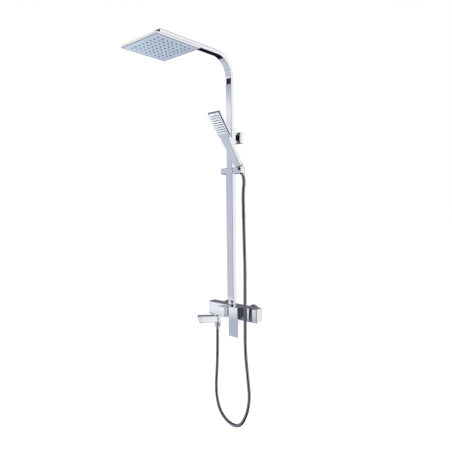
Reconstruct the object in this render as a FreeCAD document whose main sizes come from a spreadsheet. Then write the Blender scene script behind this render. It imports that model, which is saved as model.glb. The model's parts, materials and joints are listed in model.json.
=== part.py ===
import FreeCAD, Part
import math
import os
import re
import Sketcher
from FreeCAD import Placement, Rotation, Vector

# Wall-mounted rainfall shower column.
# Millimetres, +Z up, +X to the right seen from the front, +Y into the wall.
# The wall is the plane Y = 0. The origin lies on it, midway between the hot and cold inlets at mixer height.

doc = FreeCAD.newDocument("shower_column")
sheet = doc.addObject("Spreadsheet::Sheet", "Sizes")

SIZES = {
    # mixer body, a rectangular shell round a brass core
    "mixer_left": -118, "mixer_right": 142, "mixer_front": -79, "mixer_back": -37, "mixer_half_height": 29,
    "shell_wall": 3, "core_gap": 0.5, "end_cap_thick": 6, "shell_round": 2.5, "cap_round": 4.5,
    # wall unions, 150 mm apart, with G1/2 tails
    "inlet_spacing": 150, "tail_radius": 10.48, "tail_length": 15, "tail_bore": 7, "union_neck": 10,
    "spigot_radius": 11.5, "spigot_end": -28, "washer_thick": 2, "union_collar": 4,
    "nut_flats": 30, "nut_length": 17.5, "flange_radius": 27, "flange_thick": 9,
    # mixing cartridge and lever
    "lever_x": 48, "cartridge_radius": 17.3, "cartridge_back": -52, "cartridge_front": -82,
    "spindle_radius": 12.2, "lever_width": 50, "lever_front": -111, "lever_top": 31, "lever_foot": -95,
    "lever_pivot_z": 14, "lever_tip_thick": 5.5, "edge_round": 1.5, "lever_hollow_radius": 22.2,
    "lever_hollow_z": 1.5, "stem_side": 8, "grub_radius": 2.5, "grub_y": -98,
    # diverter
    "diverter_x": -25, "diverter_z": -1, "diverter_radius": 10.8, "diverter_width": 37,
    "diverter_height": 45, "diverter_front": -102, "diverter_depth": 20.5, "diverter_spindle_radius": 5,
    # bath spout
    "spout_x": -90, "spout_y": -58, "spout_turn": 46, "spout_width": 30, "spout_top": -35.5,
    "spout_height": 29, "spout_reach": 90, "spout_collar_radius": 19, "aerator_reach": 70,
    "aerator_radius": 9, "spout_channel": 12,
    # column
    "column_y": -60, "nut_radius": 16, "column_base": 47, "lower_width": 36, "lower_depth": 22,
    "upper_width": 30, "upper_depth": 16, "tube_wall": 1.5, "tube_round": 2, "lower_top": 613,
    "upper_bottom": 333, "upper_top": 967, "insert_visible": 24, "insert_grip": 28, "pipe_bore": 5,
    "column_spigot_radius": 9, "column_spigot_bore": 6, "column_spigot_low": 14,
    # gooseneck arm
    "bend_radius": 87, "arm_reach": 372, "arm_overhang": 14,
    # rain head on its ball joint
    "head_side": 200, "head_thick": 8, "head_underside": 1022, "face_side": 193, "face_thick": 2.5,
    "nozzle_pitch": 20.4, "nozzle_radius": 2.4, "nozzle_drop": 2, "ball_radius": 11, "ball_centre": 1047,
    "ball_neck": 6.5, "ball_gap": 0.3, "socket_radius": 15, "ball_nut_radius": 18, "head_nipple_radius": 12,
    # wall bracket
    "bracket_z": 746, "sleeve_half_height": 33, "sleeve_half_width": 20, "sleeve_front": -73,
    "sleeve_back": -45, "sleeve_gap": 0.3, "bar_width": 16, "bar_height": 25, "flange_side": 46,
    "flange_depth": 20, "plate_side": 36, "plate_thick": 4, "screw_spacing": 20, "screw_hole": 2.75,
    # slider and hand shower holder
    "slider_z": 601, "slider_height": 24, "slider_left": -29.5, "slider_right": 31, "slider_front": -84,
    "slider_back": -43, "knob_left": -46, "liner_wall": 1.4, "holder_pin_radius": 5,
    "cradle_x": 64, "cradle_y": -70, "cradle_z": 606, "cradle_radius": 16, "cradle_length": 32,
    "cradle_end": 77, "cradle_depth": 28, "cradle_gap": 0.4, "pin_reach": 12,
    # hand shower, along its own axis from the cradle
    "lean": 37.5, "cone_top": 12.6, "cone_bottom": 10.9, "handle_foot": 20, "handle_foot_half": 16.5,
    "handle_neck": 150, "handle_neck_half": 21, "head_foot": 165, "head_crown": 263, "head_half": 32,
    "head_chamfer": 3, "head_rim": 4.6, "face_gap": 0.3, "strip_count": 8, "strip_pitch": 10,
    "strip_height": 4.4, "first_strip": 12, "nipple_radius": 9.8, "nipple_low": 6, "handle_bore": 6,
    # hose
    "hose_radius": 7, "hose_bore": 5, "hose_nut_flats": 24, "hose_nut_length": 22,
}

for row, (alias, number_text) in enumerate(SIZES.items(), start=1):
    sheet.set("A%d" % row, alias)
    sheet.set("B%d" % row, str(number_text))
    sheet.setAlias("B%d" % row, alias)
doc.recompute()

WORD = re.compile(r"[A-Za-z_][A-Za-z_0-9]*")
PLANES = {"XY": "XY_Plane", "XZ": "XZ_Plane", "YZ": "YZ_Plane"}
TURN_TO = {
    "+X": Rotation(Vector(0, 1, 0), 90),
    "+Y": Rotation(Vector(0, 1, 0), 90) * Rotation(Vector(1, 0, 0), -90),
    "+Z": Rotation(),
}
nodes = {}
counts = {}


def linked(formula):
    """The formula with every alias written as a cell of the sheet."""
    return WORD.sub(lambda found: "Sizes." + found.group(0) if found.group(0) in SIZES else found.group(0),
                    str(formula))


def number(formula):
    """The present value of a formula."""
    return float(sheet.evalExpression(linked(formula)))


def bind(thing, **formulas):
    for field, formula in formulas.items():
        thing.setExpression(field, linked(formula))


def fresh(kind, name):
    counts[name] = counts.get(name, 0) + 1
    return doc.addObject(kind, "%s_%d" % (name, counts[name]))


def put(thing, at, turn=None):
    """Turns a thing and binds its place."""
    thing.Placement = Placement(Vector(*[number(value) for value in at]), turn or Rotation())
    for letter, value in zip("xyz", at):
        thing.setExpression("Placement.Base." + letter, linked(value))
    return thing


def box(at, length, width, height):
    block = fresh("Part::Box", "Block")
    bind(block, Length=length, Width=width, Height=height)
    return put(block, at)


def rod(at, radius, height, towards="+Z"):
    cylinder = fresh("Part::Cylinder", "Rod")
    bind(cylinder, Radius=radius, Height=height)
    return put(cylinder, at, TURN_TO[towards])


def taper(at, low_radius, high_radius, height, towards="+Z"):
    cone = fresh("Part::Cone", "Taper")
    bind(cone, Radius1=low_radius, Radius2=high_radius, Height=height)
    return put(cone, at, TURN_TO[towards])


def ball(at, radius):
    sphere = fresh("Part::Sphere", "Ball")
    bind(sphere, Radius=radius)
    return put(sphere, at)


def hexagon(at, flats, height, towards="+Z"):
    prism = fresh("Part::Prism", "Hexagon")
    prism.Polygon = 6
    bind(prism, Circumradius="(%s) / sqrt(3)" % flats, Height=height)
    return put(prism, at, TURN_TO[towards])


def join(*pieces):
    fusion = fresh("Part::MultiFuse", "Join")
    fusion.Shapes = list(pieces)
    return fusion


def cut(base, *tools):
    """The base with each tool taken away in turn."""
    for tool in tools:
        difference = fresh("Part::Cut", "Cut")
        difference.Base = base
        difference.Tool = tool
        base = difference
    return base


def overlap(first, second):
    common = fresh("Part::Common", "Overlap")
    common.Base = first
    common.Tool = second
    return common


def group(pieces):
    compound = fresh("Part::Compound", "Group")
    compound.Links = list(pieces)
    return compound


def straight_along(edge, axis):
    """True for a straight edge parallel to one of the axes X, Y and Z."""
    if edge.Curve.TypeId != "Part::GeomLine":
        return False
    run = edge.Vertexes[1].Point - edge.Vertexes[0].Point
    return abs(getattr(run, axis.lower())) > 0.999 * run.Length


def soften(base, radius, choose):
    """Rounds the edges of a part that a test picks."""
    doc.recompute()
    fillet = fresh("Part::Fillet", "Soften")
    fillet.Base = base
    size = number(radius)
    picked = [place for place, edge in enumerate(base.Shape.Edges, start=1) if choose(edge)]
    fillet.Edges = [(place, size, size) for place in picked]
    return fillet


def outline(body, plane, corners):
    """A closed sketch of straight lines, every corner bound to the sheet."""
    sketch = body.newObject("Sketcher::SketchObject", "Outline")
    origin_plane = [item for item in body.Origin.OriginFeatures if item.Role == PLANES[plane]][0]
    sketch.AttachmentSupport = [(origin_plane, "")]
    sketch.MapMode = "FlatFace"
    spots = [Vector(number(across), number(up), 0) for across, up in corners]
    for start, end in zip(spots, spots[1:] + spots[:1]):
        sketch.addGeometry(Part.LineSegment(start, end), False)
    last = len(spots)
    for index in range(last):
        sketch.addConstraint(Sketcher.Constraint("Coincident", index, 2, (index + 1) % last, 1))
    for index, (across, up) in enumerate(corners):
        for kind, formula in (("DistanceX", across), ("DistanceY", up)):
            spot = sketch.addConstraint(Sketcher.Constraint(kind, -1, 1, index, 1, number(formula)))
            sketch.setExpression("Constraints[%d]" % spot, linked(formula))
    return sketch


def extrusion(plane, corners, length, at=(0, 0, 0), turn=None, centred=False, backwards=False,
              round_by=None, choose=None):
    """A body that is one padded outline with rounded edges."""
    body = fresh("PartDesign::Body", "Profile")
    pad = body.newObject("PartDesign::Pad", "Pad")
    sketch = outline(body, plane, corners)
    pad.Profile = sketch
    pad.Midplane = centred
    pad.Reversed = backwards
    bind(pad, Length=length)
    body.Tip = pad
    if round_by is not None:
        doc.recompute()
        fillet = body.newObject("PartDesign::Fillet", "Round")
        names = ["Edge%d" % place for place, edge in enumerate(pad.Shape.Edges, start=1) if choose(edge)]
        fillet.Base = (pad, names)
        bind(fillet, Radius=round_by)
        body.Tip = fillet
    return put(body, at, turn)


def tube(width, depth, low, high, round_by="tube_round"):
    """An upright rectangular tube with rounded corners on the column's axis."""
    def profile(shrink, rounding):
        across, deep = "(%s) / 2 - %s" % (width, shrink), "(%s) / 2 - %s" % (depth, shrink)
        corners = [("-(%s)" % across, "-(%s)" % deep), (across, "-(%s)" % deep),
                   (across, deep), ("-(%s)" % across, deep)]
        return extrusion("XY", corners, "(%s) - (%s)" % (high, low), at=(0, "column_y", low),
                         round_by=rounding, choose=lambda edge: straight_along(edge, "Z"))
    return cut(profile("0", round_by), profile("tube_wall", "(%s) - tube_wall + 0.2" % round_by))


def bar(width, depth, low, high):
    """An upright rectangular block on the column's axis."""
    return box(("-(%s) / 2" % width, "column_y - (%s) / 2" % depth, low), width, depth,
               "(%s) - (%s)" % (high, low))


def node(label, thing):
    thing.Label = label
    nodes[label] = thing
    return thing


# ---------------------------------------------------------------- mixer body
SHELL_LENGTH = "mixer_right - mixer_left"
SHELL_DEPTH = "mixer_back - mixer_front"


def side_section(inset, rounding):
    """The mixer's upright cross-section, run along X."""
    corners = [("mixer_front + " + inset, "-mixer_half_height + " + inset),
               ("mixer_back - " + inset, "-mixer_half_height + " + inset),
               ("mixer_back - " + inset, "mixer_half_height - " + inset),
               ("mixer_front + " + inset, "mixer_half_height - " + inset)]
    return extrusion("YZ", corners, SHELL_LENGTH, at=("mixer_left", 0, 0), round_by=rounding,
                     choose=lambda edge: straight_along(edge, "X"))


def mixer_shell():
    openings = [
        rod(("lever_x", "mixer_front - 1", 0), "cartridge_radius + 2.3", "shell_wall + 2", "+Y"),
        rod(("diverter_x", "mixer_front - 1", "diverter_z"), "diverter_radius + 2.8", "shell_wall + 2", "+Y"),
        rod((0, "column_y", "mixer_half_height - shell_wall - 1"), "column_spigot_radius + 0.2",
            "shell_wall + 2"),
        rod(("spout_x", "spout_y", "-mixer_half_height - 1"), "tail_radius + 0.3", "shell_wall + 2"),
    ]
    for side in (-1, 1):
        openings.append(rod(("%d * inlet_spacing / 2" % side, "mixer_back - shell_wall - 1", 0),
                            "spigot_radius + 0.8", "shell_wall + 2", "+Y"))
    hollow = side_section("shell_wall", "shell_round - 1.5")
    node("mixer_shell", cut(side_section("0", "shell_round"), hollow, *openings))


def end_caps():
    """Closing plates with soft outer corners, each with a plug that stops inside the shell."""
    for label, outer, plug in (("left_end_cap", "mixer_left - end_cap_thick", "mixer_left"),
                               ("right_end_cap", "mixer_right", "mixer_right - 4")):
        plate = box((outer, "mixer_front", "-mixer_half_height"), "end_cap_thick", SHELL_DEPTH,
                    "2 * mixer_half_height")
        far_x = number(outer) if label.startswith("left") else number(outer + " + end_cap_thick")

        def is_outer(edge, far_x=far_x):
            upright = straight_along(edge, "Z") and abs(edge.Vertexes[0].X - far_x) < 0.01
            return upright
        rounded = soften(plate, "cap_round", is_outer)
        inset = "shell_wall + 0.4"
        lug = box((plug, "mixer_front + " + inset, "-mixer_half_height + " + inset), 4,
                  SHELL_DEPTH + " - 2 * (%s)" % inset, "2 * (mixer_half_height - (%s))" % inset)
        node(label, join(rounded, lug))


def mixer_core():
    """The brass casting: hot and cold ways to the cartridge, mixed water to the diverter, two outlets."""
    gap = "(shell_wall + core_gap)"
    front, back = "mixer_front + " + gap, "mixer_back - " + gap
    low = "-mixer_half_height + " + gap
    block = box(("mixer_left + 6", front, low), SHELL_LENGTH + " - 12",
                "(%s) - (%s)" % (back, front), "2 * mixer_half_height - 2 * " + gap)
    spigots = [rod(("%d * inlet_spacing / 2" % side, "mixer_back - 6", 0), "spigot_radius",
                   "spigot_end - (mixer_back - 6)", "+Y") for side in (-1, 1)]
    way = 4
    supply_y = -47
    ways = [rod(("%d * inlet_spacing / 2" % side, "mixer_back - 14", 0), "tail_bore", 30, "+Y")
            for side in (-1, 1)]
    ways += [
        rod(("lever_x", "mixer_front", 0), "cartridge_radius + 0.2", "cartridge_back - mixer_front", "+Y"),
        rod(("diverter_x", "mixer_front", "diverter_z"), "diverter_radius + 0.2", 24, "+Y"),
        rod(("-inlet_spacing / 2 - 2", supply_y, 2), way, "inlet_spacing / 2 + lever_x - 3", "+X"),
        rod(("lever_x + 5", supply_y, 2), way, "inlet_spacing / 2 - lever_x - 3", "+X"),
        rod(("lever_x - 8", "cartridge_back - 1", 1), 2.5, 4, "+Y"),
        rod(("lever_x + 8", "cartridge_back - 1", 1), 2.5, 4, "+Y"),
        rod(("diverter_x + 3", "column_y + 1", 5), 3, "lever_x - diverter_x - 12", "+X"),
        rod((0, "column_y", 4), 4.5, 12),
        rod((0, "column_y", "column_spigot_low"), "column_spigot_radius", 20),
        rod(("spout_x", "spout_y", "-mixer_half_height"), "tail_radius", 20),
        rod(("spout_x + 3", "spout_y - 1.5", -12), 2.8, "diverter_x - spout_x - 8", "+X"),
    ]
    node("mixer_core", cut(join(block, *spigots), *ways))


def wall_unions():
    washers, nuts, flanges = [], [], []
    collar_at = "spigot_end + washer_thick"
    neck_at = "spigot_end + washer_thick + union_collar"
    for label, side in (("hot_wall_union", -1), ("cold_wall_union", 1)):
        across = "%d * inlet_spacing / 2" % side
        outside = join(rod((across, collar_at, 0), "spigot_radius - 0.2", "union_collar", "+Y"),
                       rod((across, collar_at, 0), "union_neck", "-(%s)" % collar_at, "+Y"),
                       rod((across, 0, 0), "tail_radius", "tail_length", "+Y"))
        node(label, cut(outside, rod((across, collar_at + " - 1", 0), "tail_bore",
                                     "tail_length + 1 - (%s)" % collar_at + " + 1", "+Y")))
        washers.append(cut(rod((across, "spigot_end", 0), "spigot_radius - 0.5", "washer_thick", "+Y"),
                           rod((across, "spigot_end - 1", 0), "tail_bore", "washer_thick + 2", "+Y")))
        nut_at = "mixer_back + 0.5"
        nuts.append(cut(hexagon((across, nut_at, 0), "nut_flats", "nut_length", "+Y"),
                        rod((across, nut_at + " - 1", 0), "spigot_radius + 0.05",
                            "%s - (%s) + 1" % (neck_at, nut_at), "+Y"),
                        rod((across, nut_at, 0), "union_neck + 0.3", "nut_length + 1", "+Y")))
        disc = rod((across, "-flange_thick", 0), "flange_radius", "flange_thick", "+Y")
        face_y = number("-flange_thick")
        dished = soften(disc, 3, lambda edge: edge.Curve.TypeId == "Part::GeomCircle"
                        and abs(edge.Vertexes[0].Y - face_y) < 0.01)
        flanges.append(cut(dished, rod((across, "-flange_thick - 1", 0), "union_neck + 0.6",
                                       "flange_thick + 2", "+Y")))
    node("union_washers", group(washers))
    node("union_nuts", group(nuts))
    node("wall_flanges", group(flanges))


# ---------------------------------------------------------------- cartridge and lever
def cartridge():
    recess = rod(("lever_x", "cartridge_front - 1", 0), "spindle_radius + 0.3", 13, "+Y")
    ports = [rod(("lever_x + %d" % shift, "cartridge_back - 8", 0), 3, 9, "+Y") for shift in (-8, 8)]
    body = rod(("lever_x", "cartridge_front", 0), "cartridge_radius",
               "cartridge_back - cartridge_front", "+Y")
    node("mixing_cartridge", cut(body, recess, *ports))
    nut_back = "mixer_front + shell_wall + core_gap"
    ring = rod(("lever_x", "cartridge_front - 2", 0), "cartridge_radius + 2",
               "%s - (cartridge_front - 2)" % nut_back, "+Y")
    body_way = rod(("lever_x", "cartridge_front", 0), "cartridge_radius + 0.1", 20, "+Y")
    spindle_way = rod(("lever_x", "cartridge_front - 3", 0), "spindle_radius + 1.5", 20, "+Y")
    node("cartridge_nut", cut(ring, body_way, spindle_way))
    disc = rod(("lever_x", "cartridge_front - 3", 0), "spindle_radius", 13, "+Y")
    slot = box(("lever_x - 5", "cartridge_front - 4", -11), 10, 11, 19)
    node("cartridge_spindle", cut(disc, slot))


def lever():
    """A square-edged paddle on a deep base, hollow behind so that it covers the cartridge nut."""
    back = "mixer_front - 1.5"
    corners = [("lever_front", "lever_foot"), ("lever_front", "lever_top"), (back + " - 5.5", "lever_top"),
               (back, "lever_pivot_z - 2"), (back, -12), ("lever_front + 8.5", -43),
               ("lever_front + lever_tip_thick", "lever_foot")]
    paddle = extrusion("YZ", corners, "lever_width", at=("lever_x", 0, 0), centred=True,
                       round_by="edge_round", choose=lambda edge: True)
    hollow = rod(("lever_x", "cartridge_front - 12", "lever_hollow_z"), "lever_hollow_radius", 30, "+Y")

    def square_stem():
        return box(("lever_x - stem_side / 2", "cartridge_front - 19", "-stem_side / 2"), "stem_side", 20,
                   "stem_side")
    screw_hole = rod(("lever_x", "grub_y", -45), "grub_radius", "45 - stem_side / 2")
    node("lever_handle", cut(paddle, hollow, square_stem(), screw_hole))
    node("lever_stem", square_stem())
    screw_low = "-stem_side / 2 - 10"
    screw = cut(rod(("lever_x", "grub_y", screw_low), "grub_radius", 10),
                hexagon(("lever_x", "grub_y", screw_low + " - 1"), "grub_radius", 4))
    node("lever_grub_screw", screw)


def diverter():
    at_front = "mixer_front - 4"
    barrel = rod(("diverter_x", at_front, "diverter_z"), "diverter_radius", 27, "+Y")
    node("diverter_cartridge", cut(barrel, rod(("diverter_x", at_front + " - 1", "diverter_z"),
                                               "diverter_spindle_radius + 0.05", 20, "+Y")))
    ring = rod(("diverter_x", "mixer_front", "diverter_z"), "diverter_radius + 2.5",
               "shell_wall + core_gap", "+Y")
    node("diverter_bonnet", cut(ring, rod(("diverter_x", "mixer_front - 1", "diverter_z"),
                                          "diverter_radius", 10, "+Y")))
    half_width, half_height = "diverter_width / 2", "diverter_height / 2"
    corners = [("-(%s)" % half_width, "-(%s)" % half_height), (half_width, "-(%s)" % half_height),
               (half_width, half_height), ("-(%s)" % half_width, half_height)]
    block = extrusion("XZ", corners, "diverter_depth",
                      at=("diverter_x", "diverter_front + diverter_depth", "diverter_z"),
                      round_by="edge_round", choose=lambda edge: True)
    cup = rod(("diverter_x", at_front + " - 2", "diverter_z"), "diverter_radius + 1.5", 10, "+Y")
    bore = rod(("diverter_x", "diverter_front + 5", "diverter_z"), "diverter_spindle_radius", 30, "+Y")
    node("diverter_knob", cut(block, cup, bore))
    node("diverter_spindle", rod(("diverter_x", "diverter_front + 5", "diverter_z"),
                                 "diverter_spindle_radius", 32, "+Y"))


# ---------------------------------------------------------------- spout
def spout():
    centre = ("spout_x", "spout_y")
    foot = "spout_top - spout_height"
    stem = rod(centre + (foot + " - 12",), "tail_radius", "-9 - (%s - 12)" % foot)
    bore = rod(centre + (foot + " - 13",), 6, 90)
    ports = [rod(("spout_x - 15", "spout_y", "spout_top - spout_height / 2"), 3.5, 30, "+X")]
    node("spout_stem", cut(stem, bore, *ports))
    collar = rod(centre + ("spout_top + 0.5",), "spout_collar_radius", "-mixer_half_height - spout_top - 0.5")
    node("spout_collar", cut(collar, rod(centre + ("spout_top",), "tail_radius", 20)))

    turn = Rotation(Vector(0, 0, 1), -number("spout_turn"))
    half = "spout_width / 2"
    middle = "-spout_height / 2"
    profile = [("-spout_reach", 0), (0, 0), (0, "-spout_height"), ("-spout_reach + 9", "-spout_height")]
    blade = extrusion("YZ", profile, "spout_width", at=centre + ("spout_top",), turn=turn, centred=True)
    heel = rod(centre + (foot,), half, "spout_height")
    whole = soften(join(blade, heel), "edge_round", lambda edge: not straight_along(edge, "Z"))
    channel = box((0, 0, 0), "spout_channel", "aerator_reach", 9)
    way_out = rod((0, "-aerator_reach", "-spout_height - 1"), "aerator_radius - 3", "spout_height / 2 + 2")
    seat = rod((0, "-aerator_reach", "-spout_height - 1"), "aerator_radius", 9)
    put(channel, ("-spout_channel / 2", "-aerator_reach", middle + " - 4.5"))
    inside = join(channel, way_out, seat)
    inside.Placement = Placement(Vector(number("spout_x"), number("spout_y"), number("spout_top")), turn)
    shaft = rod(centre + (foot + " - 1",), "tail_radius + 0.07", "spout_height + 2")
    gallery = rod(centre + (foot + " + 9",), "tail_radius + 1.8", "spout_height - 18")
    grooves = [rod(centre + (foot + " + %g" % rise,), "tail_radius + 1.6", 2.4) for rise in (3, 23.6)]
    node("spout_body", cut(whole, inside, shaft, gallery, *grooves))
    seals = [cut(rod(centre + (foot + " + %g" % rise,), "tail_radius + 1.6", 2.4),
                 rod(centre + (foot,), "tail_radius + 0.07", "spout_height")) for rise in (3, 23.6)]
    node("spout_seals", group(seals))

    reach = turn.multVec(Vector(0, -number("aerator_reach"), 0))
    tip = ("spout_x + %.4f" % reach.x, "spout_y + %.4f" % reach.y)
    rim = soften(rod(tip + (foot + " - 3",), "aerator_radius", 11), 0.8,
                 lambda edge: edge.Curve.TypeId == "Part::GeomCircle"
                 and abs(edge.Vertexes[0].Z - number(foot + " - 3")) < 0.01)
    node("aerator_shell", cut(rim, rod(tip + (foot + " - 4",), "aerator_radius - 2", 13)))
    insert = rod(tip + (foot + " - 2",), "aerator_radius - 2", 9)
    holes = [rod(("%s + %.4f" % (tip[0], 4 * math.cos(math.radians(60 * step))),
                  "%s + %.4f" % (tip[1], 4 * math.sin(math.radians(60 * step))), foot + " - 3"), 1.2, 11)
             for step in range(6)]
    node("aerator_insert", cut(insert, *holes))


# ---------------------------------------------------------------- column
def column():
    spigot_top = "column_base + 20"
    spigot = rod((0, "column_y", "column_spigot_low"), "column_spigot_radius",
                 spigot_top + " - column_spigot_low")
    node("column_spigot", cut(spigot, rod((0, "column_y", 0), "column_spigot_bore", 100)))
    ring = rod((0, "column_y", "mixer_half_height"), "nut_radius", "column_base - mixer_half_height")
    soft_ring = soften(ring, 1, lambda edge: edge.Curve.TypeId == "Part::GeomCircle")
    node("column_nut", cut(soft_ring, rod((0, "column_y", 0), "column_spigot_radius", 100)))
    inner_width, inner_depth = "lower_width - 2 * tube_wall", "lower_depth - 2 * tube_wall"
    plug = bar(inner_width + " - 0.6", inner_depth + " - 0.6", "column_base", spigot_top)
    node("column_base_plug", cut(plug, rod((0, "column_y", 0), "column_spigot_radius", 100)))
    node("lower_column", tube("lower_width", "lower_depth", "column_base", "lower_top"))

    sleeve = join(bar(inner_width + " - 0.6", inner_depth + " - 0.6", "lower_top - 30", "lower_top"),
                  bar("lower_width", "lower_depth", "lower_top", "lower_top + 2.5"))
    slide_way = bar("upper_width + 0.6", "upper_depth + 0.6", "lower_top - 31", "lower_top + 4")
    node("column_liner", cut(sleeve, slide_way))

    node("upper_column", tube("upper_width", "upper_depth", "upper_bottom", "upper_top"))
    shoe = bar(inner_width + " - 0.8", inner_depth + " - 0.8", "upper_bottom", "upper_bottom + 18")
    node("column_shoe", cut(shoe, bar("upper_width", "upper_depth", "upper_bottom - 1", "upper_bottom + 19")))


def gooseneck():
    """The insert that links tube and arm, the bent arm itself and its end plug."""
    grip_width, grip_depth = "upper_width - 2 * tube_wall", "upper_depth - 2 * tube_wall"
    arm_low = "upper_top + insert_visible"
    neck = soften(bar(grip_width + " - 0.4", grip_depth + " - 0.4", "upper_top - insert_grip",
                      arm_low + " + 1"), 1, lambda edge: straight_along(edge, "Z"))
    node("joint_insert", cut(neck, rod((0, "column_y", "upper_top - insert_grip - 1"), "pipe_bore", 200)))

    def swept(shrink, rounding):
        body = fresh("PartDesign::Body", "Arm")
        half_width, half_depth = "upper_width / 2 - " + shrink, "upper_depth / 2 - " + shrink
        section = outline(body, "XY", [("-(%s)" % half_width, "-(%s)" % half_depth),
                                       (half_width, "-(%s)" % half_depth), (half_width, half_depth),
                                       ("-(%s)" % half_width, half_depth)])
        path = body.newObject("Sketcher::SketchObject", "Path")
        side_plane = [item for item in body.Origin.OriginFeatures if item.Role == "YZ_Plane"][0]
        path.AttachmentSupport = [(side_plane, "")]
        path.MapMode = "FlatFace"
        bend = number("bend_radius")
        end = -number("arm_reach + arm_overhang")
        path.addGeometry(Part.ArcOfCircle(Part.Circle(Vector(-bend, 0, 0), Vector(0, 0, 1), bend),
                                          0, math.pi / 2), False)
        path.addGeometry(Part.LineSegment(Vector(-bend, bend, 0), Vector(end, bend, 0)), False)
        path.addConstraint(Sketcher.Constraint("Coincident", 0, 1, -1, 1))
        path.addConstraint(Sketcher.Constraint("Tangent", 0, 2, 1, 1))
        path.addConstraint(Sketcher.Constraint("Horizontal", 1))
        path.addConstraint(Sketcher.Constraint("PointOnObject", 0, 3, -1))
        radius_rule = path.addConstraint(Sketcher.Constraint("Radius", 0, bend))
        path.setExpression("Constraints[%d]" % radius_rule, linked("bend_radius"))
        end_rule = path.addConstraint(Sketcher.Constraint("DistanceX", -1, 1, 1, 2, end))
        path.setExpression("Constraints[%d]" % end_rule, linked("-(arm_reach + arm_overhang)"))
        pipe = body.newObject("PartDesign::AdditivePipe", "Pipe")
        pipe.Profile = section
        pipe.Spine = (path, ["Edge1", "Edge2"])
        body.Tip = pipe
        doc.recompute()
        lengthwise = [place for place, edge in enumerate(pipe.Shape.Edges, start=1) if edge.Length > 60]
        fillet = body.newObject("PartDesign::Fillet", "Round")
        fillet.Base = (pipe, ["Edge%d" % place for place in lengthwise])
        bind(fillet, Radius=rounding)
        body.Tip = fillet
        return put(body, (0, "column_y", arm_low))

    under_arm = arm_low + " + bend_radius - upper_depth / 2"
    mouth = rod((0, "column_y - arm_reach", under_arm + " - 1"), 8, "tube_wall + 2")
    node("gooseneck_arm", cut(swept("0", "tube_round"), swept("tube_wall", "tube_round - tube_wall + 0.2"),
                              mouth))
    plug = box(("-(%s - 0.4) / 2" % grip_width, "column_y - arm_reach - arm_overhang",
                under_arm + " + tube_wall + 0.2"), grip_width + " - 0.4", 4, grip_depth + " - 0.4")
    node("arm_end_plug", plug)


# ---------------------------------------------------------------- rain head
def rain_head():
    head = (0, "column_y - arm_reach")
    under_arm = "upper_top + insert_visible + bend_radius - upper_depth / 2"
    nipple_low = "ball_centre + ball_radius + 4"
    nipple = join(hexagon(head + (nipple_low,), "2 * head_nipple_radius - 2",
                          "%s - (%s)" % (under_arm, nipple_low)),
                  rod(head + (under_arm,), "7.8", 7))
    node("head_nipple", cut(nipple, rod(head + (nipple_low + " - 1",), "ball_neck + 0.07", 40)))
    pivot = join(ball(head + ("ball_centre",), "ball_radius"),
                 rod(head + ("ball_centre",), "ball_neck", "ball_radius + 8"))
    node("swivel_ball", cut(pivot, rod(head + ("ball_centre - 20",), 3.5, 50)))

    roof = "head_underside + head_thick"
    cavity = ball(head + ("ball_centre",), "ball_radius + ball_gap")
    seat = join(rod(head + (roof,), "socket_radius", "ball_centre - (%s)" % roof),
                rod(head + (roof,), "socket_radius + 9", 2))
    node("head_socket", cut(seat, cavity, rod(head + (roof + " - 1",), 6, 20)))
    nut_low = "ball_centre - 11"
    nut = soften(rod(head + (nut_low,), "ball_nut_radius", 20), 1.5,
                 lambda edge: edge.Curve.TypeId == "Part::GeomCircle")
    node("ball_nut", cut(nut, rod(head + (nut_low + " - 1",), "socket_radius", 12), cavity,
                         rod(head + ("ball_centre",), 9.5, 20)))
    node("socket_seal", cut(rod(head + (roof,), 6, 3), rod(head + (roof + " - 1",), 3.5, 8)))

    side = "head_side / 2"
    square = [("-(%s)" % side, "-(%s)" % side), (side, "-(%s)" % side), (side, side), ("-(%s)" % side, side)]
    slab = extrusion("XY", square, "head_thick", at=head + ("head_underside",), round_by=1.5,
                     choose=lambda edge: True)
    tray = box(("-face_side / 2 - 0.3", "column_y - arm_reach - face_side / 2 - 0.3", "head_underside - 1"),
               "face_side + 0.6", "face_side + 0.6", 6)
    node("rain_head_shell", cut(slab, tray, rod(head + ("head_underside",), 6, 30)))
    sheet_face = box(("-face_side / 2", "column_y - arm_reach - face_side / 2", "head_underside"),
                     "face_side", "face_side", "face_thick")

    def lattice(make):
        offsets = [index - 3.5 for index in range(8)]
        return [make(("%g * nozzle_pitch" % across, "column_y - arm_reach + %g * nozzle_pitch" % along))
                for across in offsets for along in offsets]
    holes = lattice(lambda at: rod(at + ("head_underside - 1",), "nozzle_radius", "face_thick + 2"))
    node("rain_head_face", cut(sheet_face, group(holes)))
    tips = lattice(lambda at: taper(at + ("head_underside - nozzle_drop",), "nozzle_radius - 0.7",
                                    "nozzle_radius", "face_thick + nozzle_drop"))
    node("rain_nozzles", group(tips))


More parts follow.
